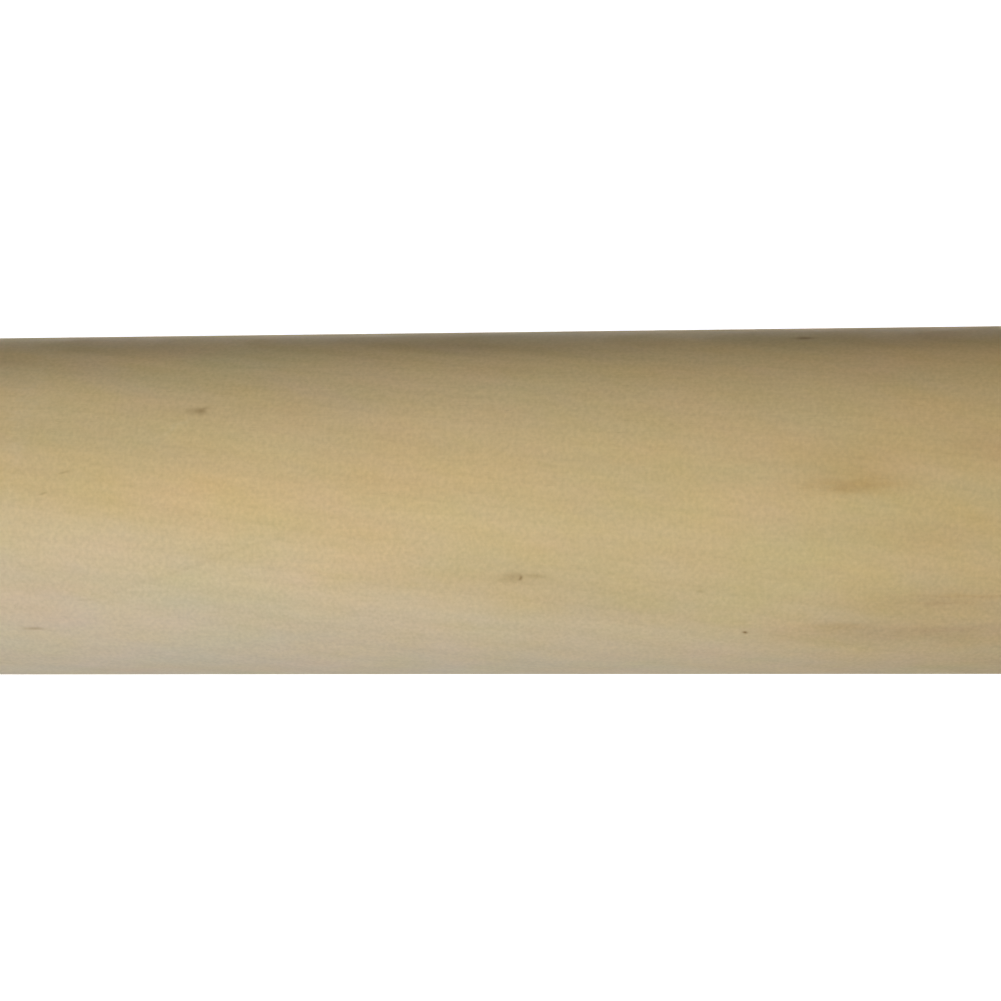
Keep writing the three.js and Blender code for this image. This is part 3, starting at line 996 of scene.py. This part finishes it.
floor_shape = bmesh.new()
bmesh.ops.create_grid(floor_shape, x_segments=1, y_segments=1, size=FLOOR_SIZE / 2 * MM)
floor = bpy.data.objects.new("floor", finished(floor_shape))
floor.data.materials.append(floor_material())
bpy.context.scene.collection.objects.link(floor)

world = bpy.data.worlds.new("studio")
world.use_nodes = True
sky = world.node_tree.nodes["Background"]
sky.inputs["Color"].default_value = (1, 1, 1, 1)
world.node_tree.links.new(seen(world.node_tree, WORLD_LIGHT, 1.0), sky.inputs["Strength"])
bpy.context.scene.world = world

# The lamps: a key above the front, a small one beyond each end, and a narrow strip over the floor behind
KEY_POWER = 11.0
KEY_SIZE = (500, 500)
KEY_PLACE = (-160, -754, 954)
END_POWER = 2.0
END_SIZE = (200, 200)
END_DISTANCE = 1100
END_HEIGHT = 110
STRIP_POWER = 0.34
STRIP_SIZE = (480, 60)
STRIP_BEHIND = 130
STRIP_HEIGHT = 600
STRIP_SPREAD = math.radians(12)


def lamp(name, power, size, position, target, spread=math.pi):
    """A soft box at a place in millimetres, which faces a target and doesn't show itself."""
    data = bpy.data.lights.new(name, "AREA")
    data.energy = power
    data.shape = "RECTANGLE"
    data.size = size[0] * MM
    data.size_y = size[1] * MM
    data.spread = spread
    light = bpy.data.objects.new(name, data)
    light.location = Vector(position) * MM
    light.rotation_mode = "QUATERNION"
    light.rotation_quaternion = (Vector(position) - Vector(target)).to_track_quat("Z", "Y")
    light.visible_camera = False
    bpy.context.scene.collection.objects.link(light)


lamp("key", KEY_POWER, KEY_SIZE, KEY_PLACE, (0, 0, AXIS_HEIGHT))
for side, sign in zip(SIDES, (-1, 1)):
    end_place = (sign * END_DISTANCE, 0, END_HEIGHT)
    lamp(f"{side}_end", END_POWER, END_SIZE, end_place, (sign * BARREL_END, 0, AXIS_HEIGHT))
strip_place = (0, STRIP_BEHIND, STRIP_HEIGHT)
lamp("floor_behind", STRIP_POWER, STRIP_SIZE, strip_place, (0, STRIP_BEHIND, 0), STRIP_SPREAD)

# The camera: above and in front, turned a little so that the right-hand end comes nearer
LENS = 85.0
SENSOR_WIDTH = 36.0
CAMERA_DISTANCE = 484.75
CAMERA_ELEVATION = math.radians(60)
CAMERA_YAW = math.radians(4.567)
CAMERA_ROLL = math.radians(0.369)
AIM_ABOVE_AXIS = 0.555

back = Vector((0, -math.cos(CAMERA_ELEVATION), math.sin(CAMERA_ELEVATION)))
up = Vector((0, math.sin(CAMERA_ELEVATION), math.cos(CAMERA_ELEVATION)))
along = Vector((1, 0, 0))
right = along * math.cos(CAMERA_YAW) - back * math.sin(CAMERA_YAW)
back = back * math.cos(CAMERA_YAW) + along * math.sin(CAMERA_YAW)
right, up = (
    right * math.cos(CAMERA_ROLL) - up * math.sin(CAMERA_ROLL),
    up * math.cos(CAMERA_ROLL) + right * math.sin(CAMERA_ROLL),
)
turn = Matrix((right, up, back)).transposed().to_4x4()
stand = Vector((0, 0, AXIS_HEIGHT)) + up * AIM_ABOVE_AXIS + back * CAMERA_DISTANCE
camera = bpy.data.objects.new("camera", bpy.data.cameras.new("camera"))
camera.data.lens = LENS
camera.data.sensor_width = SENSOR_WIDTH
camera.matrix_world = Matrix.Translation(stand * MM) @ turn
bpy.context.scene.collection.objects.link(camera)
bpy.context.scene.camera = camera
bpy.context.scene.view_settings.view_transform = "Standard"
